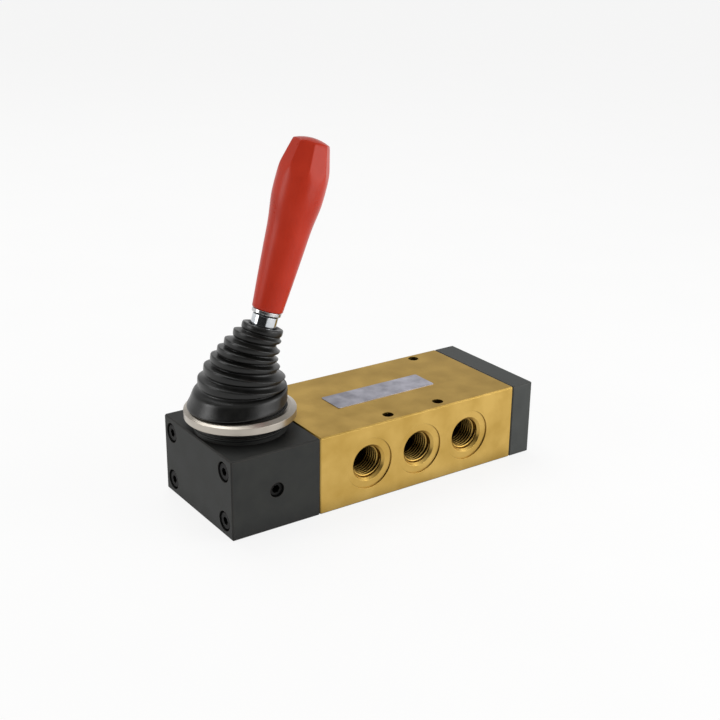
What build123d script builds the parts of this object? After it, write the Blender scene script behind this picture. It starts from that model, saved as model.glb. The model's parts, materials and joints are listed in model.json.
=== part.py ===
"""Hand lever air valve: five-port, three-position spool valve with a detented lever.

Frame: millimetres, +X from the lever end to the cap end along the spool, +Y to the rear face, +Z up.
The origin lies on the base face, straight below the point where the middle port's axis meets the spool's.
The model is drawn with the lever in its end position over the body, which is where it rests.
"""
from build123d import *
import math
import os

# ---- block sizes -------------------------------------------------------------------------------
block_height = 32.0
block_width = 53.4
lever_end_margin = 22.8         # outer front port to the joint with the lever housing
cap_end_margin = 24.3           # outer front port to the joint with the end cap
housing_length = 38.2
cap_thickness = 10.6
edge_chamfer = 0.5              # every outer edge of the three blocks
spool_height = 16.0             # spool axis above the base face

# ---- ports (G1/4) ------------------------------------------------------------------------------
port_pitch = 24.4               # between front ports; the rear ports lie halfway between them
port_thread_radius = 6.58       # G1/4 major diameter 13.157
port_depth = 13.0
port_mouth_chamfer = 1.0
spotface_radius = 10.6
spotface_depth = 0.5
passage_radius = 4.0
passage_overlap = 1.5           # how far a passage's cut reaches into the spool bore

# ---- mounting holes ----------------------------------------------------------------------------
mounting_hole_radius = 2.25
front_hole_spacing = 24.8
front_hole_inset = 4.9          # from the front face
rear_hole_spacing = 67.6
rear_hole_inset = 4.0           # from the rear face

# ---- M4 socket screws that hold housing and cap to the body ------------------------------------
screw_radius = 2.0
screw_head_radius = 3.5
screw_head_height = 4.0
screw_socket_flats = 3.0
screw_socket_depth = 2.2
screw_side_inset = 6.0          # screw axis from the front or rear face
screw_edge_inset = 6.0          # screw axis from the top or base face
housing_screw_length = 40.0     # under the head
cap_screw_length = 16.0
counterbore_radius = 4.0
counterbore_depth = 4.4
screw_tip_room = 1.2            # tapped hole beyond the screw's tip
screw_hole_clearance = 0.25
thread_clearance = 0.05         # modelled gap between a plain thread and its tapped hole

# ---- spool, seals and their stack --------------------------------------------------------------
bore_radius = 10.0
stack_clearance = 0.05
spool_radius = 6.0
spool_waist_radius = 4.0
spool_waist_length = 8.0
spool_clearance = 0.05
seal_width = 3.0
seal_lip_fillet = 0.8
spacer_inner_radius = 7.2
spacer_groove_depth = 0.9
spacer_window_radius = 2.6
guide_length = 11.5
spool_end_room = 3.0            # free space past the spool's end at full travel

# ---- shuttle that the lever pushes -------------------------------------------------------------
shuttle_radius = 8.0
shuttle_clearance = 0.08
shuttle_length = 22.5
shuttle_flat_height = 4.0       # flat on top, above the spool axis
shuttle_lead = 8.8              # shuttle's outer end beyond the ball pocket's axis
shuttle_end_room = 0.5
ball_pocket_clearance = 0.1
ball_pocket_depth = 5.0         # below the spool axis
spool_stud_radius = 2.5
spool_stud_length = 6.5
spool_stem_radius = 3.5
land_lead_engagement = 10.0     # first land into the lever end's guide, lever upright
land_tail_engagement = 9.0      # last land into the cap end's guide, lever upright

# ---- lever -------------------------------------------------------------------------------------
lever_axis_inset = 19.1         # lever pivot from the housing's outer end face
pivot_above_block = 6.0
lever_angle = 18.0              # from upright to either end position
lever_ball_radius = 4.0
lever_arm_radius = 2.5
lever_eye_radius = 6.5
lever_eye_width = 10.0
rod_radius = 5.0
rod_shoulder = 38.9             # from the pivot to the shoulder that the ferrule sits on
rod_stud_radius = 3.0
rod_stud_length = 14.0
rod_chamfer = 0.5
pivot_pin_radius = 2.5
pivot_pin_inset = 1.1           # each end inside the neck's thread
pivot_clearance = 0.04
bush_wall = 1.0
press_clearance = 0.02          # drawn gap of a press or glued fit

# ---- neck, ring nut and boot -------------------------------------------------------------------
neck_radius = 18.0              # M36 x 1.5
neck_thread_height = 9.2
neck_rim_radius = 17.0
neck_rim_height = 6.0
neck_slot_length = 24.0
neck_slot_clearance = 0.3       # each side of the lever's eye
nut_radius = 21.5
nut_height = 4.0
nut_above_block = 5.0
nut_bevel_width = 2.0             # bevel round the nut's upper face
nut_bevel_height = 1.0
nut_chamfer = 0.4               # its lower edge
boot_collar_radius = 19.0
boot_collar_height = 8.2
boot_wall = 1.6
boot_roof = 1.2                 # wall measured upwards, where the bellows close in
boot_clearance = 0.3
boot_seat_gap = 0.2             # between the boot's lower edge and the ring nut
boot_neck_gap = 0.6             # between the neck's top and the boot's inside
boot_top_radius = 7.9
boot_top_along_lever = 34.6     # from the pivot to the boot's upper end
boot_top_collar_height = 2.6

# Rings of the bellows, from the collar up: height above the block, share of the lever's lean
# at that height, share of its tilt, radius.
boot_rings = [
    (18.0, 0.05, 0.05, 17.9),
    (21.8, 0.35, 0.45, 15.6),
    (26.5, 0.42, 0.65, 12.9),
    (32.3, 0.65, 0.80, 10.1),
]

# ---- handle ------------------------------------------------------------------------------------
ferrule_radius = 5.7
ferrule_height = 1.8
handle_outline = [              # distance from the handle's lower end, radius
    (0.0, 5.6),
    (0.6, 6.0),
    (10.8, 6.8),
    (21.9, 7.6),
    (33.0, 8.4),
    (41.8, 9.55),
    (46.7, 9.75),
    (51.2, 9.7),
]
handle_length = 65.8
handle_crown_radius = 16.0      # domed upper end
handle_facets = 8
facet_start = 51.2              # where the facets start, from the handle's lower end
facet_slope = 13.5
insert_radius = 4.3
insert_length = 13.0
insert_lead = 1.0               # insert's lower face from the handle's lower end

# ---- detent ------------------------------------------------------------------------------------
detent_ball_radius = 2.5
detent_drop = 0.8               # how far the ball sinks into a groove
detent_lift = 0.1               # gap between the lifted ball and the shuttle
detent_groove_clearance = 0.08
detent_bore_clearance = 0.05
detent_thread_radius = 3.0
detent_thread_depth = 8.7
set_screw_length = 7.5
set_screw_inset = 1.0
set_screw_socket_flats = 3.0
set_screw_socket_depth = 3.0
spring_radius = 2.1
spring_wall = 0.5
spring_end_gap = 0.05

# ---- face seals and label ----------------------------------------------------------------------
face_seal_radius = 12.6         # centre line of the O-ring
face_seal_section = 0.8         # radius of its section
face_groove_width = 2.2
face_groove_depth = 1.7
label_length = 48.0
label_width = 13.0
label_thickness = 0.25
label_shift = -1.4              # label's centre from the middle port
label_corner = 0.8

# ---- derived places ----------------------------------------------------------------------------
joint_lever = -(port_pitch + lever_end_margin)
joint_cap = port_pitch + cap_end_margin
housing_end = joint_lever - housing_length
cap_end = joint_cap + cap_thickness
lever_x = housing_end + lever_axis_inset
pivot_z = block_height + pivot_above_block
lever_arm = pivot_z - spool_height
half_travel = lever_arm * math.sin(math.radians(lever_angle))
seal_pitch = port_pitch / 2
pocket_x = lever_x - half_travel
shuttle_rest_start = pocket_x - shuttle_lead
shuttle_rest_end = shuttle_rest_start + shuttle_length
stack_half = 2.5 * seal_pitch + seal_width / 2
stack_end = stack_half + guide_length
spool_land_lead = stack_half + land_lead_engagement
spool_land_tail = stack_half + land_tail_engagement
neck_top = block_height + neck_thread_height + neck_rim_height
guide_bore_radius = shuttle_radius + shuttle_clearance
ball_lifted_y = -(shuttle_radius + detent_lift + detent_ball_radius)
ball_seated_y = -(shuttle_radius - detent_drop + detent_ball_radius)
set_screw_y = -block_width / 2 + set_screw_inset
screw_y = block_width / 2 - screw_side_inset
screw_z = (screw_edge_inset, block_height - screw_edge_inset)
screw_places = [(y, z) for y in (-screw_y, screw_y) for z in screw_z]
front_ports = [-port_pitch, 0.0, port_pitch]
rear_ports = [-seal_pitch, seal_pitch]
pieces = {}


def along_x(radius, start, end, y=0.0, z=spool_height):
    """Cylinder between two places on X."""
    plane = Plane(origin=(start, y, z), x_dir=(0, 1, 0), z_dir=(1, 0, 0))
    return plane * Cylinder(radius, end - start, align=(Align.CENTER, Align.CENTER, Align.MIN))


def along_y(radius, start, end, x, z):
    """Cylinder between two places on Y."""
    plane = Plane(origin=(x, start, z), x_dir=(1, 0, 0), z_dir=(0, 1, 0))
    return plane * Cylinder(radius, end - start, align=(Align.CENTER, Align.CENTER, Align.MIN))


def along_z(radius, start, end, x=0.0, y=0.0):
    """Cylinder between two heights."""
    base = (Align.CENTER, Align.CENTER, Align.MIN)
    return Pos(x, y, start) * Cylinder(radius, end - start, align=base)


def block(start, end):
    """Chamfered block of the valve's own section, between two places on X."""
    size = Box(end - start, block_width, block_height, align=(Align.MIN, Align.CENTER, Align.MIN))
    size = Pos(start, 0, 0) * size
    return chamfer(size.edges(), edge_chamfer)


def turned(outline):
    """Solid turned about the spool axis from (place on X, radius) points."""
    face = make_face(Polyline(*[(x, 0, spool_height + r) for x, r in outline], close=True))
    return revolve(face, Axis((0, 0, spool_height), (1, 0, 0)), 360)


def on_lever(solid):
    """Place a solid drawn on an upright lever, pivot at the origin, where the tipped lever is."""
    return Pos(lever_x, 0, pivot_z) * Rot(0, lever_angle, 0) * solid


def hex_socket(flats, depth):
    """Hexagonal hole that opens at z = 0 and goes down."""
    shape = RegularPolygon(flats / 2, 6, major_radius=False)
    return Pos(0, 0, -depth) * extrude(shape, depth)


def socket_screw(length):
    """M4 socket head cap screw: head below z = 0 and shank further down, axis on Z."""
    head = along_z(screw_head_radius, -screw_head_height, 0)
    head = chamfer(head.edges().filter_by(GeomType.CIRCLE).sort_by(Axis.Z)[-1], 0.4)
    shank = along_z(screw_radius, -screw_head_height - length, -screw_head_height)
    shank = chamfer(shank.edges().filter_by(GeomType.CIRCLE).sort_by(Axis.Z)[0], 0.4)
    return head + shank - hex_socket(screw_socket_flats, screw_socket_depth)


def screw_set(face_x, outward, length):
    """Four screws sunk in counterbores in an end face; outward is -1 or +1 along X."""
    seat = face_x - outward * (counterbore_depth - screw_head_height)
    solids = []
    for y, z in screw_places:
        plane = Plane(origin=(seat, y, z), x_dir=(0, 1, 0), z_dir=(outward, 0, 0))
        solids.append(plane * socket_screw(length))
    return Compound(children=solids)


def screw_clearance_cuts(face_x, joint_x, outward):
    """Counterbores and clearance holes through a housing or cap."""
    low, high = sorted((face_x, joint_x))
    floor = face_x - outward * counterbore_depth
    sink = sorted((face_x, floor))
    cuts = Part()
    for y, z in screw_places:
        cuts += along_x(screw_radius + screw_hole_clearance, low, high, y, z)
        cuts += along_x(counterbore_radius, sink[0], sink[1], y, z)
    return cuts


def port_cut(x, face):
    """Spotface, mouth chamfer, threaded hole and passage; face is -1 at the front, +1 at the rear."""
    outer = block_width / 2
    mouth = outer - spotface_depth
    bottom = outer - port_depth
    breakthrough = bore_radius - passage_overlap
    outline = [
        (0, breakthrough),
        (passage_radius, breakthrough),
        (passage_radius, bottom),
        (port_thread_radius, bottom),
        (port_thread_radius, mouth - port_mouth_chamfer),
        (port_thread_radius + port_mouth_chamfer, mouth),
        (spotface_radius, mouth),
        (spotface_radius, outer),
        (0, outer),
    ]
    profile = make_face(Polyline(*[(x + r, face * y, spool_height) for r, y in outline], close=True))
    return revolve(profile, Axis((x, 0, spool_height), (0, 1, 0)), 360)


def make_body():
    body = block(joint_lever, joint_cap)
    body -= along_x(bore_radius, joint_lever, joint_cap)
    for x in front_ports:
        body -= port_cut(x, -1)
    for x in rear_ports:
        body -= port_cut(x, 1)
    front_y = -block_width / 2 + front_hole_inset
    rear_y = block_width / 2 - rear_hole_inset
    for side in (-1, 1):
        body -= along_z(mounting_hole_radius, 0, block_height, side * front_hole_spacing / 2, front_y)
        body -= along_z(mounting_hole_radius, 0, block_height, side * rear_hole_spacing / 2, rear_y)
    hole = screw_radius + thread_clearance
    lever_tip = housing_end + counterbore_depth + housing_screw_length + screw_tip_room
    cap_tip = cap_end - counterbore_depth - cap_screw_length - screw_tip_room
    for y, z in screw_places:
        body -= along_x(hole, joint_lever, lever_tip, y, z)
        body -= along_x(hole, cap_tip, joint_cap, y, z)
    pieces["valve_body"] = body


def face_groove(joint_x, inward):
    """Ring groove for an O-ring, cut into the face at joint_x; inward is the way into the material."""
    ends = sorted((joint_x, joint_x + inward * face_groove_depth))
    outer = along_x(face_seal_radius + face_groove_width / 2, ends[0], ends[1])
    return outer - along_x(face_seal_radius - face_groove_width / 2, ends[0], ends[1])


def make_housing():
    housing = block(housing_end, joint_lever)
    spigot = along_x(bore_radius - stack_clearance, joint_lever - 1, -stack_end)
    rim_base = block_height + neck_thread_height
    neck = along_z(neck_radius, block_height - 1, rim_base, lever_x)
    neck = chamfer(neck.edges().filter_by(GeomType.CIRCLE).sort_by(Axis.Z)[-1], 0.5)
    rim = along_z(neck_rim_radius, rim_base - 1, neck_top, lever_x)
    rim = chamfer(rim.edges().filter_by(GeomType.CIRCLE).sort_by(Axis.Z)[-1], 0.5)
    housing = housing + spigot + neck + rim
    bore_start = shuttle_rest_start - shuttle_end_room
    housing -= along_x(guide_bore_radius, bore_start, 0)
    slot_width = lever_eye_width + 2 * neck_slot_clearance
    slot = extrude(SlotOverall(neck_slot_length, slot_width), neck_top - spool_height + 1)
    housing -= Pos(lever_x, 0, spool_height) * slot
    housing -= along_y(pivot_pin_radius + press_clearance, -neck_radius, neck_radius, lever_x, pivot_z)
    front = -block_width / 2
    housing -= along_y(detent_thread_radius, front, front + detent_thread_depth, lever_x, spool_height)
    ball_hole = detent_ball_radius + detent_bore_clearance
    housing -= along_y(ball_hole, front, 0, lever_x, spool_height)
    housing -= screw_clearance_cuts(housing_end, joint_lever, -1)
    housing -= face_groove(joint_lever, -1)
    pieces["lever_housing"] = housing


def make_cap():
    cap = block(joint_cap, cap_end)
    cap += along_x(bore_radius - stack_clearance, stack_end, joint_cap + 1)
    pocket_end = spool_land_tail + half_travel + spool_end_room
    cap -= along_x(spool_radius + 1.0, stack_end, pocket_end)
    cap -= screw_clearance_cuts(cap_end, joint_cap, 1)
    cap -= face_groove(joint_cap, 1)
    pieces["end_cap"] = cap


def make_screws():
    pieces["lever_housing_screws"] = screw_set(housing_end, -1, housing_screw_length)
    pieces["end_cap_screws"] = screw_set(cap_end, 1, cap_screw_length)


def make_face_seals():
    for name, joint_x, inward in (("housing_face_seal", joint_lever, -1), ("cap_face_seal", joint_cap, 1)):
        middle = joint_x + inward * face_groove_depth / 2
        plane = Plane(origin=(middle, 0, spool_height), x_dir=(0, 1, 0), z_dir=(1, 0, 0))
        pieces[name] = plane * Torus(face_seal_radius, face_seal_section)


def make_seal_stack():
    """Six seals with five windowed spacers between them, and a guide bush at each end."""
    outer = bore_radius - stack_clearance
    inner = spool_radius + spool_clearance
    for number in range(6):
        middle = (number - 2.5) * seal_pitch
        low = middle - seal_width / 2
        high = middle + seal_width / 2
        ring = along_x(outer, low, high) - along_x(inner, low, high)
        lip = ring.edges().filter_by(GeomType.CIRCLE).filter_by(lambda e: e.radius < inner + 0.01)
        pieces[f"spool_seal_{number + 1}"] = fillet(lip, seal_lip_fillet)
    spacer_length = seal_pitch - seal_width
    for number in range(5):
        middle = (number - 2) * seal_pitch
        low = middle - spacer_length / 2
        high = middle + spacer_length / 2
        groove_half = spacer_length / 2 - 1.2
        cage = along_x(outer, low, high) - along_x(spacer_inner_radius, low, high)
        groove = along_x(outer, middle - groove_half, middle + groove_half)
        groove -= along_x(outer - spacer_groove_depth, middle - groove_half, middle + groove_half)
        cage -= groove
        cage -= along_y(spacer_window_radius, -outer, outer, middle, spool_height)
        cage -= along_z(spacer_window_radius, spool_height - outer, spool_height + outer, middle)
        pieces[f"seal_spacer_{number + 1}"] = cage
    for name, low, high in (
        ("lever_end_guide", -stack_end, -stack_half),
        ("cap_end_guide", stack_half, stack_end),
    ):
        pieces[name] = along_x(outer, low, high) - along_x(inner, low, high)


def make_spool():
    """Spool with two waists; closed centre when the lever is upright, drawn half a travel to -X."""
    shift = -half_travel
    start = shuttle_rest_end
    outline = [
        (start - spool_stud_length, 0),
        (start - spool_stud_length, spool_stud_radius),
        (start, spool_stud_radius),
        (start, spool_stem_radius),
        (shift - spool_land_lead, spool_stem_radius),
        (shift - spool_land_lead, spool_radius - 0.5),
        (shift - spool_land_lead + 0.5, spool_radius),
    ]
    for waist in rear_ports:
        low = shift + waist - spool_waist_length / 2
        high = shift + waist + spool_waist_length / 2
        outline += [
            (low - 1.0, spool_radius),
            (low, spool_waist_radius),
            (high, spool_waist_radius),
            (high + 1.0, spool_radius),
        ]
    outline += [
        (shift + spool_land_tail - 0.5, spool_radius),
        (shift + spool_land_tail, spool_radius - 0.5),
        (shift + spool_land_tail, 0),
    ]
    pieces["spool"] = turned(outline)


def make_shuttle():
    bar = along_x(shuttle_radius, shuttle_rest_start, shuttle_rest_end)
    bar = chamfer(bar.edges().filter_by(GeomType.CIRCLE), 0.4)
    corner = (Align.MIN, Align.CENTER, Align.MIN)
    flat = Box(shuttle_length, 2 * shuttle_radius, shuttle_radius, align=corner)
    bar -= Pos(shuttle_rest_start, 0, spool_height + shuttle_flat_height) * flat
    pocket_radius = lever_ball_radius + ball_pocket_clearance
    pocket_bottom = spool_height - ball_pocket_depth
    bar -= along_z(pocket_radius, pocket_bottom, spool_height + shuttle_radius, pocket_x)
    stud_hole = spool_stud_radius + press_clearance
    bar -= along_x(stud_hole, shuttle_rest_end - spool_stud_length - 0.2, shuttle_rest_end)
    groove_radius = detent_ball_radius + detent_groove_clearance
    for stop in (-1, 0, 1):
        centre = (pocket_x + stop * half_travel, 0, spool_height)
        plane = Plane(origin=centre, x_dir=(0, 1, 0), z_dir=(1, 0, 0))
        bar -= plane * Torus(-ball_seated_y, groove_radius)
    pieces["drive_shuttle"] = bar


def make_lever():
    rod_base = lever_eye_radius - 1.0
    eye = along_y(lever_eye_radius, -lever_eye_width / 2, lever_eye_width / 2, 0, 0)
    eye = chamfer(eye.edges().filter_by(GeomType.CIRCLE), 0.5)
    rod = along_z(rod_radius, 0, rod_shoulder)
    rod = chamfer(rod.edges().filter_by(GeomType.CIRCLE).sort_by(Axis.Z)[-1], rod_chamfer)
    stud = along_z(rod_stud_radius, rod_base, rod_shoulder + rod_stud_length)
    arm = along_z(lever_arm_radius, -lever_arm, 0)
    ball = Pos(0, 0, -lever_arm) * Sphere(lever_ball_radius)
    lever = eye + rod + stud + arm + ball
    bush_half = lever_eye_width / 2
    bush_inner = pivot_pin_radius + pivot_clearance
    bush_outer = bush_inner + bush_wall
    lever -= along_y(bush_outer + press_clearance, -bush_half, bush_half, 0, 0)
    pieces["lever_rod"] = on_lever(lever)
    bush = along_y(bush_outer, -bush_half, bush_half, 0, 0)
    bush -= along_y(bush_inner, -bush_half, bush_half, 0, 0)
    pieces["pivot_bush"] = on_lever(bush)
    pin_half = neck_radius - pivot_pin_inset
    pin = along_y(pivot_pin_radius, -pin_half, pin_half, lever_x, pivot_z)
    pieces["pivot_pin"] = chamfer(pin.edges().filter_by(GeomType.CIRCLE), 0.4)


def make_ferrule():
    ring = along_z(ferrule_radius, rod_shoulder, rod_shoulder + ferrule_height)
    ring = chamfer(ring.edges().filter_by(GeomType.CIRCLE), 0.35)
    ring -= along_z(rod_stud_radius + thread_clearance, 0, rod_shoulder + ferrule_height)
    pieces["ferrule"] = on_lever(ring)


def crown_height(radius):
    """Height of the handle's domed end above its lower end, at a distance from its axis."""
    return handle_length - handle_crown_radius + math.sqrt(handle_crown_radius ** 2 - radius ** 2)


def make_handle():
    """Turned handle with a domed end and a tip cut to flats, and a threaded insert in its lower end."""
    base = rod_shoulder + ferrule_height
    lower = Polyline(*[(r, 0, base + s) for s, r in handle_outline[:3]])
    upper = Spline(*[(r, 0, base + s) for s, r in handle_outline[2:]])
    top_s, top_r = handle_outline[-1]
    crown = [(r, 0, base + crown_height(r)) for r in (top_r, top_r / 2, 0)]
    side = Line((top_r, 0, base + top_s), crown[0])
    top = ThreePointArc(*crown)
    axis = Line((0, 0, base + handle_length), (0, 0, base))
    bottom = Line((0, 0, base), (handle_outline[0][1], 0, base))
    handle = revolve(make_face(lower + upper + side + top + axis + bottom), Axis.Z, 360)
    for number in range(handle_facets):
        angle = number * 360 / handle_facets
        cutter = Box(top_r, 4 * top_r, handle_length, align=(Align.MIN, Align.CENTER, Align.MIN))
        cutter = Pos(top_r, 0, base + facet_start) * Rot(0, -facet_slope, 0) * cutter
        handle -= Rot(0, 0, angle) * cutter
    handle -= along_z(insert_radius + press_clearance, base, base + insert_lead + insert_length + 1)
    pieces["handle"] = on_lever(handle)
    insert = along_z(insert_radius, base + insert_lead, base + insert_lead + insert_length)
    insert = chamfer(insert.edges().filter_by(GeomType.CIRCLE), 0.3)
    insert -= along_z(rod_stud_radius + thread_clearance, base, base + insert_lead + insert_length)
    pieces["handle_insert"] = on_lever(insert)


def make_ring_nut():
    base = block_height + nut_above_block
    bore = neck_radius + thread_clearance
    outline = [
        (bore, base),
        (nut_radius - nut_chamfer, base),
        (nut_radius, base + nut_chamfer),
        (nut_radius, base + nut_height - nut_bevel_height),
        (nut_radius - nut_bevel_width, base + nut_height),
        (bore, base + nut_height),
    ]
    profile = make_face(Polyline(*[(lever_x + r, 0, z) for r, z in outline], close=True))
    pieces["ring_nut"] = revolve(profile, Axis((lever_x, 0, 0), (0, 0, 1)), 360)


def boot_circle(height, lean, tilt, radius):
    """Circle of the bellows; lean and tilt are shares of the lever's own."""
    shift = lean * (height - pivot_above_block) * math.tan(math.radians(lever_angle))
    plane = Plane(origin=(lever_x + shift, 0, block_height + height))
    return plane * Rot(0, tilt * lever_angle, 0) * Circle(radius)


def lever_ring(along, radius):
    """Ring square to the lever, given by its distance from the pivot."""
    height = pivot_above_block + along * math.cos(math.radians(lever_angle))
    return (height, 1, 1, radius)


def make_boot():
    """Bellows as a plain shell: collar, tapered and leaning wall, top collar round the rod."""
    base = nut_above_block + nut_height + boot_seat_gap
    collar_top = base + boot_collar_height
    collar_inner = neck_rim_radius + boot_clearance
    rod_inner = rod_radius + boot_clearance
    top_start = boot_top_along_lever - boot_top_collar_height
    outer_rings = [(base, 0, 0, boot_collar_radius), (collar_top - 1, 0, 0, boot_collar_radius)]
    outer_rings += boot_rings
    outer_rings += [lever_ring(top_start, boot_top_radius)]
    outer_rings += [lever_ring(boot_top_along_lever, boot_top_radius)]
    inner_rings = [(base - 1, 0, 0, collar_inner)]
    inner_rings += [(neck_top - block_height + boot_neck_gap, 0, 0, collar_inner)]
    inner_rings += [(z - boot_roof, lean, tilt, r - boot_wall) for z, lean, tilt, r in boot_rings]
    inner_rings += [lever_ring(top_start - 1, rod_inner)]
    inner_rings += [lever_ring(boot_top_along_lever + 1, rod_inner)]
    outer = loft([boot_circle(*ring) for ring in outer_rings], ruled=True)
    inner = loft([boot_circle(*ring) for ring in inner_rings], ruled=True)
    pieces["lever_boot"] = outer - inner


def make_detent():
    ball = Pos(lever_x, ball_lifted_y, spool_height) * Sphere(detent_ball_radius)
    pieces["detent_ball"] = ball
    spring_front = set_screw_y + set_screw_length + spring_end_gap
    spring_back = ball_lifted_y - detent_ball_radius - spring_end_gap
    coil = along_y(spring_radius, spring_front, spring_back, lever_x, spool_height)
    coil -= along_y(spring_radius - spring_wall, spring_front, spring_back, lever_x, spool_height)
    pieces["detent_spring"] = coil
    plane = Plane(origin=(lever_x, set_screw_y, spool_height), x_dir=(1, 0, 0), z_dir=(0, -1, 0))
    screw = along_z(detent_thread_radius - thread_clearance, -set_screw_length, 0)
    screw = chamfer(screw.edges().filter_by(GeomType.CIRCLE), 0.4)
    screw -= hex_socket(set_screw_socket_flats, set_screw_socket_depth)
    pieces["detent_set_screw"] = plane * screw


def make_label():
    shape = RectangleRounded(label_length, label_width, label_corner)
    pieces["nameplate"] = Pos(label_shift, 0, block_height) * extrude(shape, label_thickness)


make_body()
make_housing()
make_cap()
make_screws()
make_face_seals()
make_seal_stack()
make_spool()
make_shuttle()
make_lever()
make_ferrule()
make_handle()
make_ring_nut()
make_boot()
make_detent()
make_label()

os.makedirs("parts", exist_ok=True)
for name, solid in pieces.items():
    export_step(solid, f"parts/{name}.step")
print(f"spool travel {2 * half_travel:.3f} mm, {len(pieces)} nodes")
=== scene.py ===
"""Looks of a hand lever air valve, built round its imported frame. Lengths are in metres.

The sections follow the valve as it goes together on the bench: body, seals and spool, lever housing,
end cap and screws, detent, lever, ring nut, boot, handle and label. The room and camera come last.
"""
import json
import math

import bmesh
import bpy
from mathutils import Euler, Matrix, Vector


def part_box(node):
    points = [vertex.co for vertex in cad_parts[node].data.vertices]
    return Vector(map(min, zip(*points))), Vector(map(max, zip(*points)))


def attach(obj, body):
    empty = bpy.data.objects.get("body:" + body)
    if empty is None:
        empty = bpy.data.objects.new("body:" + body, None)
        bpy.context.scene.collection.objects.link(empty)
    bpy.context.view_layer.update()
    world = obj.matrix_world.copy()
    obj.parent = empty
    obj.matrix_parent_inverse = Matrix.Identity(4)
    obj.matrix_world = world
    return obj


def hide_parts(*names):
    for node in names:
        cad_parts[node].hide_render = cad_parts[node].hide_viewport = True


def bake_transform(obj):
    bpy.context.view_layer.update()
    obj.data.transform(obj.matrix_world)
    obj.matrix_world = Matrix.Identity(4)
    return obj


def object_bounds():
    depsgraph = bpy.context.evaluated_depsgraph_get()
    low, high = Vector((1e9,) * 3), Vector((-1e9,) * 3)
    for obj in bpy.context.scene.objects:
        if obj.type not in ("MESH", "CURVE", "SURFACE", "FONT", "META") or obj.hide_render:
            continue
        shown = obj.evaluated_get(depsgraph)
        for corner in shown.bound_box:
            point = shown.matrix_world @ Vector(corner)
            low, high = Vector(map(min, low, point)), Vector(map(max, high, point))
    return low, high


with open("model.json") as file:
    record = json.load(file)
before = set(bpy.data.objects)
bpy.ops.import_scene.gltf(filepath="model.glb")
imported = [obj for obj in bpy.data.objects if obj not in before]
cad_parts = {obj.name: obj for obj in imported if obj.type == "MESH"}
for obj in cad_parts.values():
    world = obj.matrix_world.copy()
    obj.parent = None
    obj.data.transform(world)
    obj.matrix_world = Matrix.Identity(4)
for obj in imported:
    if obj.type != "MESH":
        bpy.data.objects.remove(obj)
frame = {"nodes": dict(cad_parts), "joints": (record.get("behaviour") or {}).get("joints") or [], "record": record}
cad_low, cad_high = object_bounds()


# ---- valve body ---------------------------------------------------------------------------------
# A length of drawn aluminium bar, milled, bored and drilled, then etched and anodised gold.
# The dye gives a satin gold that is a little uneven from place to place, and the drawing lines still
# show faintly along the bar. Shade is painted darker down in the ports and threads, and the rubbed
# edges are paler.

MM = 0.001


def linear(code):
    """Linear RGBA of an sRGB hex colour such as #c29c4c."""
    shares = [int(code[start:start + 2], 16) / 255 for start in (1, 3, 5)]
    return [s / 12.92 if s <= 0.04045 else ((s + 0.055) / 1.055) ** 2.4 for s in shares] + [1.0]


def add_node(tree, kind, values=None, links=None, **settings):
    """Add a shader node: settings are its properties, values and links go to its sockets."""
    node = tree.nodes.new("ShaderNode" + kind)
    for name, value in settings.items():
        setattr(node, name, value)
    for socket, value in (values or {}).items():
        node.inputs[socket].default_value = value
    for socket, source in (links or {}).items():
        tree.links.new(source, node.inputs[socket])
    return node


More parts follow.
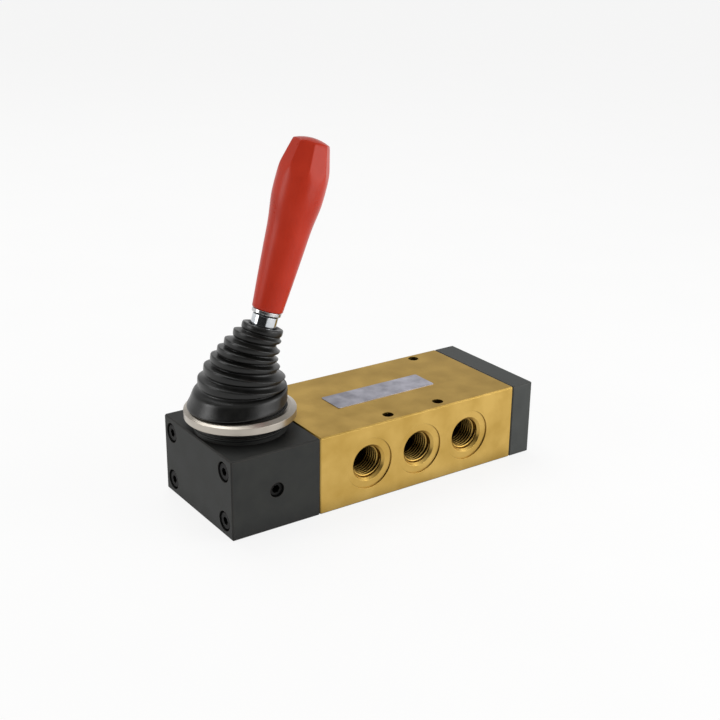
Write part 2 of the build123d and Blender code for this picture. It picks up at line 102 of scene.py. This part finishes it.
def make_material(name, colours, roughness, cloud, grain, depth, lay=(1, 1, 1), edge=0.2,
                  worn=None, painted_shade=None, shade_reach=4, values=None):
    """A surface clouded between two colours and two roughnesses, with a fine grain in relief.

    Sizes are in mm: cloud and grain are how wide their spots are, depth is the grain's relief, edge
    how far edges are rounded, and shade_reach how far round a spot the painted shade looks for cover.
    lay squeezes the grain along an axis. worn is the colour of rubbed edges, and painted_shade is a
    shade painted into hollows: the colour that a spot takes as the parts round it close in.
    """
    material = bpy.data.materials.new(name)
    material.use_nodes = True
    tree = material.node_tree
    tree.nodes.clear()
    place = add_node(tree, "TexCoord").outputs["Object"]
    clouds = add_node(tree, "TexNoise", {"Scale": 1 / (cloud * MM), "Detail": 3.0}, {"Vector": place})
    # Most of the noise lies between these two, which become the first colour and the second.
    spread = add_node(
        tree, "MapRange", {"From Min": 0.32, "From Max": 0.68}, {"Value": clouds.outputs["Fac"]}
    )
    gloss = add_node(
        tree, "MapRange", {"To Min": roughness[0], "To Max": roughness[1]},
        {"Value": spread.outputs["Result"]}
    )
    # A Mix node's sockets 0, 6 and 7 are its factor and two colours, and its output 2 the blend.
    colour = add_node(
        tree, "Mix", {6: linear(colours[0]), 7: linear(colours[1])}, {0: spread.outputs["Result"]},
        data_type="RGBA"
    ).outputs[2]
    rounded = add_node(tree, "Bevel", {"Radius": edge * MM}, samples=4).outputs["Normal"]
    if worn:
        # Rounding turns the surface away from its flat face only beside an edge.
        flat = add_node(tree, "NewGeometry").outputs["Normal"]
        facing = add_node(tree, "VectorMath", links={0: rounded, 1: flat}, operation="DOT_PRODUCT")
        rubbed = add_node(
            tree, "MapRange", {"From Min": 0.995, "From Max": 0.9}, {"Value": facing.outputs["Value"]}
        )
        colour = add_node(
            tree, "Mix", {7: linear(worn)}, {0: rubbed.outputs["Result"], 6: colour}, data_type="RGBA"
        ).outputs[2]
    if painted_shade:
        # Painted shade: a spot starts to darken once less than 0.7 of its sky is open, and takes the whole shade
        # colour at 0.2.
        openness = add_node(tree, "AmbientOcclusion", {"Distance": shade_reach * MM}, samples=8)
        shade_share = add_node(
            tree, "MapRange", {"From Min": 0.7, "From Max": 0.2}, {"Value": openness.outputs["AO"]}
        )
        colour = add_node(
            tree, "Mix", {7: linear(painted_shade)}, {0: shade_share.outputs["Result"], 6: colour},
            data_type="RGBA"
        ).outputs[2]
    laid = add_node(tree, "Mapping", {"Scale": lay}, {"Vector": place})
    marks = add_node(
        tree, "TexNoise", {"Scale": 1 / (grain * MM), "Detail": 2.0}, {"Vector": laid.outputs["Vector"]}
    )
    bump = add_node(
        tree, "Bump", {"Distance": depth * MM}, {"Height": marks.outputs["Fac"], "Normal": rounded}
    )
    shader = add_node(
        tree, "BsdfPrincipled", values,
        {"Base Color": colour, "Roughness": gloss.outputs["Result"], "Normal": bump.outputs["Normal"]}
    )
    add_node(tree, "OutputMaterial", links={"Surface": shader.outputs["BSDF"]})
    return material


def paint(material, *nodes):
    """Give CAD nodes this material."""
    for name in nodes:
        mesh = frame["nodes"][name].data
        if not mesh.materials:
            mesh.materials.append(material)
        for index in range(len(mesh.materials)):
            mesh.materials[index] = material


# Painted shade: the gold darkens to a deep brown within 12 mm of where the metal closes in, as down in the ports
# and threads.
gold = make_material(
    "gold_anodised_aluminium", ("#b9964c", "#c8a65c"), (0.34, 0.42), cloud=10, grain=0.35, depth=0.012,
    lay=(0.08, 1, 1), edge=0.12, worn="#cdb062", painted_shade="#2a200e", shade_reach=12,
    values={"Metallic": 1.0, "Specular Tint": linear("#fbf5e4")}
)
paint(gold, "valve_body")


# ---- port threads -------------------------------------------------------------------------------
# Five G1/4 ports, tapped to take pipe fittings: 19 threads to the inch, cut into the drilled walls
# before anodising, so they are gold too. Each is a thin ridge that winds in from the mouth.

def make_piece(name, rings, material, loop=False):
    """Smooth closed mesh through rings of points; it is capped at its ends unless it is a loop."""
    count = len(rings[0])
    points = [point for ring in rings for point in ring]
    faces = []
    for step in range(len(rings) if loop else len(rings) - 1):
        here = step * count
        there = (step + 1) % len(rings) * count
        for k in range(count):
            after = (k + 1) % count
            faces.append((here + k, here + after, there + after, there + k))
    if not loop:
        faces.append(tuple(range(count)))
        faces.append(tuple(range(len(points) - count, len(points))))
    mesh = bpy.data.meshes.new(name)
    mesh.from_pydata(points, [], faces)
    shape = bmesh.new()
    shape.from_mesh(mesh)
    bmesh.ops.recalc_face_normals(shape, faces=shape.faces)
    shape.to_mesh(mesh)
    shape.free()
    mesh.shade_smooth()
    mesh.materials.append(material)
    piece = bpy.data.objects.new(name, mesh)
    bpy.context.scene.collection.objects.link(piece)
    return piece


def thread_rings(start, inward, across, wall, crest, pitch, length, steps=48):
    """Sections of a ridge that winds round an axis, from the wall's radius to the crest's."""
    up = inward.cross(across)
    total = int(length / pitch * steps)
    half_foot = 0.42 * pitch
    half_crest = 0.07 * pitch
    run_out = steps / 4              # steps in which the ridge rises from the wall at either end
    rings = []
    for step in range(total + 1):
        angle = 2 * math.pi * step / steps
        out = across * math.cos(angle) + up * math.sin(angle)
        middle = start + inward * (pitch * step / steps)
        fade = min(1.0, (step + 1) / run_out, (total - step + 1) / run_out)
        tip = wall + (crest - wall) * fade
        rings.append([
            middle - inward * half_foot + out * wall,
            middle - inward * half_crest + out * tip,
            middle + inward * half_crest + out * tip,
            middle + inward * half_foot + out * wall,
        ])
    return rings


thread_pitch = 25.4 / 19 * MM
thread_height = 0.856 * MM       # G1/4, major to minor radius
thread_lead = 0.9 * MM           # plain wall before the first turn
thread_end = 1.08 * MM           # plain wall after the last one

for mount in frame["record"]["mounts"]:
    if mount["kind"] != "threaded_hole":
        continue
    inward = -Vector(mount["axis"])
    wall = mount["dims"]["r_mm"] * MM
    depth = mount["dims"]["length_mm"] * MM
    start = Vector(mount["pos_m"]) - inward * (depth / 2 - thread_lead)
    length = depth - thread_lead - thread_end
    rings = thread_rings(
        start, inward, Vector((1, 0, 0)), wall, wall - thread_height, thread_pitch, length
    )
    thread = make_piece("thread_of_" + mount["name"], rings, gold)
    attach(thread, "valve")


# ---- seals, spacers and guides ------------------------------------------------------------------
# Six nitrile lip rings stand in the bore with windowed acetal cages between them and a guide bush at
# each end. The rubber is moulded and matt with a film of grease; the acetal is turned and waxy, with
# the tool's lines round it drawn wider than they are.

nitrile = make_material(
    "nitrile_rubber", ("#161616", "#222120"), (0.38, 0.55), cloud=2.5, grain=0.2, depth=0.02,
    values={"Specular IOR Level": 0.45}
)
seals = [name for name in frame["nodes"] if name.startswith("spool_seal_")]
paint(nitrile, "housing_face_seal", "cap_face_seal", *seals)

acetal = make_material(
    "turned_acetal", ("#d8d4c6", "#e4e1d6"), (0.34, 0.46), cloud=4, grain=0.3, depth=0.02,
    lay=(1, 0.1, 0.1), values={"Subsurface Weight": 0.08}
)
spacers = [name for name in frame["nodes"] if name.startswith("seal_spacer_")]
paint(acetal, "lever_end_guide", "cap_end_guide", *spacers)


# ---- spool and drive shuttle --------------------------------------------------------------------
# The spool is turned from aluminium, hard anodised grey and ground so that the seals run on it dry.
# The shuttle that pushes it is a ground steel bar with a pocket for the lever's ball and grooves for
# the detent. Both keep fine grinding lines round their axis.

hard_coat = make_material(
    "hard_anodised_aluminium", ("#6f6d69", "#7d7b76"), (0.22, 0.34), cloud=6, grain=0.25, depth=0.006,
    lay=(1, 0.1, 0.1), values={"Metallic": 0.85}
)
paint(hard_coat, "spool")

ground_steel = make_material(
    "ground_steel", ("#a9a8a4", "#bbbab7"), (0.16, 0.28), cloud=5, grain=0.25, depth=0.004,
    lay=(1, 0.1, 0.1), values={"Metallic": 1.0}
)
paint(ground_steel, "drive_shuttle", "pivot_pin", "detent_ball")


# ---- lever housing and end cap ------------------------------------------------------------------
# Milled aluminium blocks, the housing with a threaded neck, blasted and anodised black. The coat is
# satin black with a little brown where it is thin, on the broken edges, and the blasting leaves a
# fine grain. Shade is painted near black round the neck, under the nut and in the counterbores. The
# cap gets a copy of the black that is a little greyer and glossier, so it renders lighter.

# Painted shade: over a 16 mm reach the colour goes near black wherever parts close in, as round the neck and under
# the nut.
black = make_material(
    "black_anodised_aluminium", ("#272827", "#2f302e"), (0.52, 0.62), cloud=8, grain=0.3, depth=0.012,
    worn="#463c36", painted_shade="#020202", shade_reach=16, values={"Specular IOR Level": 0.2}
)
paint(black, "lever_housing")

# The cap's copy paints shade only within 4 mm, in its counterbores and corners.
grey_black = make_material(
    "greyer_black_anodised_aluminium", ("#2b2e2c", "#333634"), (0.42, 0.5), cloud=8, grain=0.3,
    depth=0.012, worn="#524a44", painted_shade="#070707", shade_reach=4, values={"Specular IOR Level": 0.4}
)
paint(grey_black, "end_cap")

# The neck's thread shows between the block and the ring nut. It is M36 x 1.5; its crests stand a
# quarter of a millimetre proud of the plain neck here, so that they show and still clear the nut.
nut_low, nut_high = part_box("ring_nut")
neck_x = (nut_low.x + nut_high.x) / 2
block_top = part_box("end_cap")[1].z
neck_radius = 18 * MM
neck_pitch = 1.5 * MM
neck_foot = neck_radius - 0.02 * MM
neck_crest = neck_radius + 0.25 * MM
neck_plain = 0.55 * neck_pitch   # plain neck under the first turn and over the last
neck_start = Vector((neck_x, 0, block_top + neck_plain))
neck_length = nut_low.z - block_top - 2 * neck_plain
rings = thread_rings(
    neck_start, Vector((0, 0, 1)), Vector((1, 0, 0)), neck_foot, neck_crest, neck_pitch, neck_length
)
neck_thread = make_piece("neck_thread", rings, black)
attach(neck_thread, "valve")


# ---- screws -------------------------------------------------------------------------------------
# Eight M4 socket cap screws of hardened steel, blacked in hot oxide and oiled, sunk in counterbores;
# the detent's set screw is finished the same way. The oxide is thin, so bare steel shows at edges.

# Painted shade: the colour goes near black within 6 mm of where parts close in, as in the sockets and
# counterbores.
oxide = make_material(
    "black_oxide_steel", ("#0b0b0a", "#131211"), (0.5, 0.62), cloud=1.5, grain=0.2, depth=0.012,
    edge=0.1, worn="#34322f", painted_shade="#040404", shade_reach=6, values={"Specular IOR Level": 0.15}
)
paint(oxide, "lever_housing_screws", "end_cap_screws", "detent_set_screw")


# ---- detent spring ------------------------------------------------------------------------------
# A short compression spring of drawn music wire behind the detent's ball, with closed ends.
# The wire is smooth and bluish grey.

music_wire = make_material(
    "music_wire", ("#7e8084", "#94969a"), (0.22, 0.32), cloud=1, grain=0.15, depth=0.004, edge=0.02,
    values={"Metallic": 1.0}
)

spring_low, spring_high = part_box("detent_spring")
wire_radius = 0.25 * MM
coil_radius = (spring_high.z - spring_low.z) / 2 - wire_radius
coil_turns = 6.0
closed_turns = 1.2               # at each end
closed_pitch = 2.1 * wire_radius  # turns that all but touch
coil_axis = Vector(((spring_low.x + spring_high.x) / 2, 0, (spring_low.z + spring_high.z) / 2))
coil_start = spring_low.y + wire_radius
coil_room = spring_high.y - spring_low.y - 2 * wire_radius
open_rise = coil_room - 2 * closed_pitch * closed_turns
steps_per_turn = 32
wire_sides = 10
rings = []
for step in range(int(coil_turns * steps_per_turn) + 1):
    turn = step / steps_per_turn
    middle_share = (turn - closed_turns) / (coil_turns - 2 * closed_turns)
    rise = open_rise * min(1, max(0, middle_share))
    rise += closed_pitch * min(turn, closed_turns)
    rise += closed_pitch * max(0, turn - coil_turns + closed_turns)
    out = Vector((math.cos(2 * math.pi * turn), 0, math.sin(2 * math.pi * turn)))
    middle = coil_axis + Vector((0, coil_start + rise, 0)) + out * coil_radius
    rings.append([
        middle + (out * math.cos(a) + Vector((0, math.sin(a), 0))) * wire_radius
        for a in (2 * math.pi * k / wire_sides for k in range(wire_sides))
    ])
spring = make_piece("detent_coil", rings, music_wire)
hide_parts("detent_spring")
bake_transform(spring)


# ---- lever --------------------------------------------------------------------------------------
# Turned steel lever, hard chromed and polished to a mirror. Where the handle seats it has a bright
# zinc-plated washer, a little softer to look at, and the bush in its eye is sintered bronze, brown
# and finely speckled.

# Painted shade: the chrome's colour darkens within 2 mm of where other parts close round the rod.
chrome = make_material(
    "hard_chrome", ("#c6cace", "#d6dadc"), (0.05, 0.12), cloud=3, grain=0.4, depth=0.002,
    painted_shade="#3c4042", shade_reach=2, values={"Metallic": 1.0}
)
paint(chrome, "lever_rod")

zinc = make_material(
    "bright_zinc_plate", ("#bcbdbe", "#d2d2d0"), (0.14, 0.24), cloud=2, grain=0.3, depth=0.004,
    worn="#e2e2e0", values={"Metallic": 1.0}
)
paint(zinc, "ferrule")

bronze = make_material(
    "sintered_bronze", ("#7d5330", "#b07a48"), (0.35, 0.5), cloud=0.4, grain=0.2, depth=0.03,
    values={"Metallic": 1.0}
)
paint(bronze, "pivot_bush")


# ---- ring nut -----------------------------------------------------------------------------------
# Round brass nut, turned, bright nickel plated and only lightly polished: warm white, with fine
# turning lines round it and a soft sheen. It clamps a panel against the housing's top.

nickel = make_material(
    "nickel_plate", ("#b2aba0", "#bdb6ac"), (0.28, 0.36), cloud=6, grain=0.3, depth=0.006,
    lay=(0.1, 0.1, 1), values={"Metallic": 1.0}
)
paint(nickel, "ring_nut")


# ---- boot ---------------------------------------------------------------------------------------
# Bellows moulded in black chloroprene rubber. Its collar grips the neck's rim above the nut, six
# folds get smaller up to a ring that grips the rod, and the whole leans as the lever does at rest:
# the folds bunch up on the side towards the body and open on the other. The rubber has a dull shine.

# Painted shade: the colour goes near black within 3 mm of where the rubber closes in, as down in the grooves
# between the folds.
chloroprene = make_material(
    "chloroprene_rubber", ("#0c0c0b", "#131311"), (0.28, 0.38), cloud=4, grain=0.3, depth=0.02,
    painted_shade="#030303", shade_reach=3, values={"Specular IOR Level": 0.38}
)

tilt_joint = next(joint for joint in frame["joints"] if joint["name"] == "lever_tilt")
pivot = Vector(tilt_joint["pos_m"])
lean = math.radians(-min(tilt_joint["range_deg"]) / 2)
lever_way = Vector((math.sin(lean), 0, math.cos(lean)))
collar_radius = 19.0
collar_gap = 1.35                # its lower edge over the nut, from 0.2 at one side to 2.5 at the other
rod_grip_radius = 5.2
boot_top = 34.6                  # along the lever from its pivot
top_ring_radius = 8.0
skin = 0.9                       # wall of the folds
groove_share = 0.5               # how far up from one fold to the next the groove lies
groove_depth = 1.5               # under the next fold's lip
least_groove = 7.3               # leaves room for the rod and the skin

# Folds from the collar up, in mm and degrees: height over the nut, shift to the body, tilt, radius.
folds = [
    (9.0, 1.1, 4.6, 16.9),
    (12.8, 2.2, 9.0, 15.6),
    (16.8, 2.6, 11.0, 13.3),
    (19.7, 3.75, 13.5, 11.7),
    (22.5, 5.7, 14.8, 10.75),
    (25.9, 8.0, 16.0, 9.3),
]

# A fold's lip from below to above: height from its middle, how much less its radius is, and how
# much more it tilts, so that the fold is tall where the boot is open and thin where it bunches up.
lip = [
    (-1.0, 0.75, -3.0), (-0.85, 0.2, -3.0), (-0.4, 0.05, -2.0), (0.5, -0.05, 2.0), (0.8, 0.0, 3.0),
    (0.9, 0.5, 3.0),
]


def hoop_on_lever(along, radius):
    """A hoop square to the lever, at this distance from its pivot."""
    base = (pivot - Vector((neck_x, 0, nut_high.z))) / MM + lever_way * along
    return (base.z, base.x, math.degrees(lean), radius)


def hoop_points(height, shift, tilt, radius, count=72):
    """Points of one hoop of the boot."""
    middle = Vector((neck_x + shift * MM, 0, nut_high.z + height * MM))
    across = Vector((math.cos(math.radians(tilt)), 0, -math.sin(math.radians(tilt))))
    side = Vector((0, 1, 0))
    angles = [2 * math.pi * k / count for k in range(count)]
    return [middle + (across * math.cos(a) + side * math.sin(a)) * radius * MM for a in angles]


# Hoops of the collar, the bellows and the top ring, each from below to above, measured as the folds.
collar = [
    (collar_gap, -1.3, -3.5, collar_radius - 0.1),
    (collar_gap + 0.3, -1.3, -3.5, collar_radius + 0.2),
    (2.4, -1.1, -3.4, collar_radius),
    (3.8, -0.6, -3.2, collar_radius - 0.4),
    (5.9, 0.0, -2.6, collar_radius - 0.8),
    (6.8, 0.1, -2.2, collar_radius - 1.1),
    (7.3, 0.3, -1.5, collar_radius - 2.0),
]
collar_inside = [
    (collar_gap, -0.25, -3.5, collar_radius - 1.65),
    (6.4, 0, -0.5, collar_radius - 1.75),
]
bellows = [(7.6, 0.6, 0.5, 15.6)]
for number, (height, shift, tilt, radius) in enumerate(folds):
    slant = math.radians(tilt)
    for offset, less, more in lip:
        lip_height = height + offset * math.cos(slant)
        lip_shift = shift + offset * math.sin(slant)
        bellows.append((lip_height, lip_shift, tilt + more, radius - less))
    if number + 1 < len(folds):
        above = folds[number + 1]
        groove = [a + groove_share * (b - a) for a, b in zip((height, shift, tilt), above)]
        bellows.append((*groove, max(above[3] - groove_depth, least_groove)))
bellows_inside = [(h, s, t, r - skin) for h, s, t, r in bellows]
top_ring = [
    hoop_on_lever(boot_top - 3.0, least_groove),
    hoop_on_lever(boot_top - 2.6, top_ring_radius - 0.3),
    hoop_on_lever(boot_top - 2.3, top_ring_radius),
    hoop_on_lever(boot_top - 0.35, top_ring_radius),
    hoop_on_lever(boot_top, top_ring_radius - 0.35),
]
top_ring_inside = [
    hoop_on_lever(boot_top - 2.4, rod_grip_radius),
    hoop_on_lever(boot_top, rod_grip_radius),
]
outside = collar + bellows + top_ring
inside = collar_inside + bellows_inside + top_ring_inside
hoops = outside + list(reversed(inside))
boot = make_piece("boot_bellows", [hoop_points(*hoop) for hoop in hoops], chloroprene, loop=True)
rounding = boot.modifiers.new("rounding", "SUBSURF")
rounding.levels = 1
rounding.render_levels = 1
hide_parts("lever_boot")
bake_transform(boot)


# ---- handle -------------------------------------------------------------------------------------
# Red thermoset handle, moulded round a turned brass insert that screws onto the lever's stud. It
# swells towards the palm, and eight flats close its head under a slight crown. The mould leaves a
# satin polish and soft edges between the flats; the brass is bright yellow.

red = make_material(
    "red_thermoset", ("#a72812", "#b32e16"), (0.26, 0.36), cloud=12, grain=0.8, depth=0.006,
    worn="#b43823", values={"Specular IOR Level": 0.2}
)

side = Vector((0, 1, 0))
across = side.cross(lever_way)
heights = [(vertex.co - pivot).dot(lever_way) for vertex in frame["nodes"]["handle"].data.vertices]
seat = min(heights) / MM         # handle's lower end, along the lever from its pivot
handle_length = max(heights) / MM - seat
swell = [(0.6, 6.0), (10.8, 6.8), (21.9, 7.6), (33.0, 8.4), (41.8, 9.55), (46.7, 9.75), (51.2, 9.7)]
head_start, head_radius = swell[-1]
head_slope = math.tan(math.radians(13.5))
crown_radius = 16.0
crown_edge = 64.5                # highest point where the flats meet the crown
flats = 8
edge_softness = 0.12             # rounding between the flats
foot_height = 0.5                # rounding at the lower end
bore_radius = 4.32
bore_depth = 15.0


def swell_radius(along):
    """Radius of the turned part, smooth through the outline's points."""
    if along >= head_start:
        return head_radius
    index = next(i for i in range(len(swell) - 1) if along <= swell[i + 1][0])
    (a, p), (b, q) = swell[index], swell[index + 1]
    before = swell[max(index - 1, 0)]
    after = swell[min(index + 2, len(swell) - 1)]
    start_slope = (q - before[1]) / (b - before[0])
    end_slope = (after[1] - p) / (after[0] - a)
    t = min(1, max(0, (along - a) / (b - a)))
    span = b - a
    return (
        (2 * t ** 3 - 3 * t ** 2 + 1) * p + (t ** 3 - 2 * t ** 2 + t) * span * start_slope
        + (3 * t ** 2 - 2 * t ** 3) * q + (t ** 3 - t ** 2) * span * end_slope
    )


def handle_radius(along, angle):
    """Distance from the axis to the handle's skin, with the head's flats blended into it."""
    round_part = swell_radius(along)
    flat = head_radius - max(0, along - head_start) * head_slope
    step = 2 * math.pi / flats
    off = (angle + step / 2) % step - step / 2
    cut = flat / math.cos(off)
    nearness = math.exp(-round_part / edge_softness) + math.exp(-cut / edge_softness)
    return -edge_softness * math.log(nearness)


def handle_ring(along, share=1.0, less=0.0, plain=None, count=144):
    """Ring of the handle's skin, or of a plain radius; with a share under 1 it lies in the crown."""
    ring = []
    for k in range(count):
        angle = 2 * math.pi * k / count
        out = across * math.cos(angle) + side * math.sin(angle)
        radius = plain or (handle_radius(along, angle) - less) * share
        crown = handle_length - crown_radius + math.sqrt(crown_radius ** 2 - radius ** 2)
        height = crown if share < 1 else min(along, crown)
        ring.append(pivot + (lever_way * (seat + height) + out * radius) * MM)
    return ring


body_steps = 46
body_step = (crown_edge - foot_height) / body_steps
rings = [handle_ring(bore_depth, plain=bore_radius), handle_ring(0, plain=bore_radius)]
rings += [handle_ring(0, less=0.35), handle_ring(0.15, less=0.1), handle_ring(foot_height)]
rings += [handle_ring(foot_height + body_step * step) for step in range(1, body_steps + 1)]
rings += [handle_ring(crown_edge, share=share) for share in (0.97, 0.93, 0.85, 0.7, 0.5, 0.25, 0.05)]
handle = make_piece("moulded_handle", rings, red)
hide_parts("handle")
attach(handle, "lever")

brass = make_material(
    "turned_brass", ("#b8923f", "#c9a552"), (0.22, 0.34), cloud=2, grain=0.3, depth=0.02,
    values={"Metallic": 1.0}
)
paint(brass, "handle_insert")


# ---- label --------------------------------------------------------------------------------------
# Silver polyester foil label stuck along the top of the body, with rounded corners. It is left
# bare. The foil has a fine brushed lay and a tone that differs at random, and a painted sheen
# brightens its colour towards the cap.

foil = make_material(
    "silver_foil", ("#9c9ba6", "#bdbcc6"), (0.36, 0.5), cloud=5, grain=0.3, depth=0.008,
    lay=(0.05, 1, 1), edge=0.08, worn="#cfced6", values={"Metallic": 0.85}
)
label_low, label_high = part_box("nameplate")
tree = foil.node_tree
shader = tree.nodes["Principled BSDF"]
place = add_node(tree, "TexCoord").outputs["Object"]
along = add_node(tree, "SeparateXYZ", links={"Vector": place})
# Painted sheen: the foil's colour is scaled from 0.72 of itself at one end to 1.12 at the cap's end.
rise = add_node(
    tree, "MapRange",
    {"From Min": label_low.x, "From Max": label_high.x, "To Min": 0.72, "To Max": 1.12},
    {"Value": along.outputs["X"]}
)
plain = shader.inputs["Base Color"].links[0].from_socket
painted_sheen = add_node(
    tree, "VectorMath", links={0: plain, "Scale": rise.outputs["Result"]}, operation="SCALE"
)
tree.links.new(painted_sheen.outputs["Vector"], shader.inputs["Base Color"])
paint(foil, "nameplate")


# ---- room ---------------------------------------------------------------------------------------
# A white table with a broad soft light overhead from behind, a low one to the right, and the dark
# of the room behind the camera, which polished metal and rubber mirror in their middle. What the
# lens and polished surfaces see of the table and wall is lifted to white; the shadows stay.

def make_panel(name, across, up, middle, material):
    """Flat stage piece given by its two half sides."""
    mesh = bpy.data.meshes.new(name)
    corners = [middle - across - up, middle + across - up, middle + across + up, middle - across + up]
    mesh.from_pydata(corners, [], [(0, 1, 2, 3)])
    mesh.materials.append(material)
    panel = bpy.data.objects.new(name, mesh)
    bpy.context.scene.collection.objects.link(panel)
    return panel


laminate = make_material(
    "white_laminate", ("#ececea", "#f0f0ee"), (0.5, 0.6), cloud=60, grain=2, depth=0.01
)
tree = laminate.node_tree
shader = tree.nodes["Principled BSDF"]
output = tree.nodes["Material Output"]
rays = add_node(tree, "LightPath")
seen = add_node(
    tree, "Math", links={0: rays.outputs["Is Camera Ray"], 1: rays.outputs["Is Glossy Ray"]},
    operation="MAXIMUM"
)
lifted_share = 0.85              # the rest keeps the valve's shadow
share = add_node(tree, "Math", {1: lifted_share}, {0: seen.outputs["Value"]}, operation="MULTIPLY")
white = add_node(tree, "Emission", {"Color": (1, 1, 1, 1), "Strength": 1.0})
lift = add_node(
    tree, "MixShader",
    links={0: share.outputs["Value"], 1: shader.outputs["BSDF"], 2: white.outputs["Emission"]}
)
tree.links.new(lift.outputs["Shader"], output.inputs["Surface"])
half_table = 3.0
make_panel(
    "table", Vector((half_table, 0, 0)), Vector((0, half_table, 0)), Vector((0, 0, cad_low.z)), laminate
)

# The walls light the valve less the higher up they are, and look plain white to the lens.
world = bpy.data.worlds.new("studio")
bpy.context.scene.world = world
world.use_nodes = True
tree = world.node_tree
tree.nodes.clear()
place = add_node(tree, "TexCoord").outputs["Generated"]
height = add_node(tree, "SeparateXYZ", links={"Vector": place})
fall = add_node(
    tree, "MapRange", {"From Min": 0.05, "From Max": 0.5, "To Min": 0.95, "To Max": 0.42},
    {"Value": height.outputs["Z"]}
)
rays = add_node(tree, "LightPath")
strength = add_node(
    tree, "Math", links={0: fall.outputs["Result"], 1: rays.outputs["Is Camera Ray"]},
    operation="MAXIMUM"
)
sky = add_node(tree, "Background", {"Color": (1, 1, 1, 1)}, {"Strength": strength.outputs["Value"]})
add_node(tree, "OutputWorld", links={"Surface": sky.outputs["Background"]})


def way_to(azimuth, elevation):
    """Direction from the valve, in degrees from straight in front and from level."""
    a = math.radians(azimuth)
    e = math.radians(elevation)
    return Vector((math.sin(a) * math.cos(e), -math.cos(a) * math.cos(e), math.sin(e)))


def add_softbox(name, azimuth, elevation, distance, size, power):
    """Square lamp that looks at the middle of the valve."""
    lamp = bpy.data.lights.new(name, "AREA")
    lamp.shape = "SQUARE"
    lamp.size = size
    lamp.energy = power
    softbox = bpy.data.objects.new(name, lamp)
    bpy.context.scene.collection.objects.link(softbox)
    back = way_to(azimuth, elevation)
    softbox.location = (cad_low + cad_high) / 2 + back * distance
    softbox.rotation_euler = back.to_track_quat("Z", "Y").to_euler()


add_softbox("overhead", azimuth=175, elevation=62, distance=1.0, size=0.6, power=4.0)
add_softbox("side", azimuth=39, elevation=10, distance=0.5, size=0.5, power=2.2)
add_softbox("left", azimuth=-107, elevation=18, distance=0.8, size=0.3, power=1.5)

# A black cloth stands upright on the table, and only polished surfaces see it.
cloth = make_material("black_cloth", ("#0c0c0c", "#121212"), (0.8, 0.9), cloud=30, grain=1, depth=0.1)
cloth_way = way_to(-46, 0)
cloth_distance = 0.7
half_width = 0.68
half_height = Vector((0, 0, 0.2))
cloth_panel = make_panel(
    "cloth", Vector((0, 0, 1)).cross(cloth_way) * half_width, half_height,
    cloth_way * cloth_distance + half_height, cloth
)
cloth_panel.visible_camera = False
cloth_panel.visible_shadow = False
cloth_panel.visible_diffuse = False


# ---- camera -------------------------------------------------------------------------------------
# A long lens on a stand off the lever end's front corner. It looks down at the valve, a hair out of
# level, and everything from front to back is sharp.

camera_data = bpy.data.cameras.new("camera")
camera_data.sensor_width = 36
camera_data.lens = 60.07
camera = bpy.data.objects.new("camera", camera_data)
bpy.context.scene.collection.objects.link(camera)
bpy.context.scene.camera = camera
azimuth, elevation, roll = (math.radians(a) for a in (-35.042, 20.672, 0.785))
turned = Euler((math.pi / 2 - elevation, 0, azimuth)).to_matrix() @ Matrix.Rotation(roll, 3, "Z")
aim = Vector((-3.2, 11.0, 42.6)) * MM
stand_off = 498.5 * MM
camera.matrix_world = Matrix.Translation(aim + turned.col[2] * stand_off) @ turned.to_4x4()

bpy.context.scene.view_settings.view_transform = "Standard"
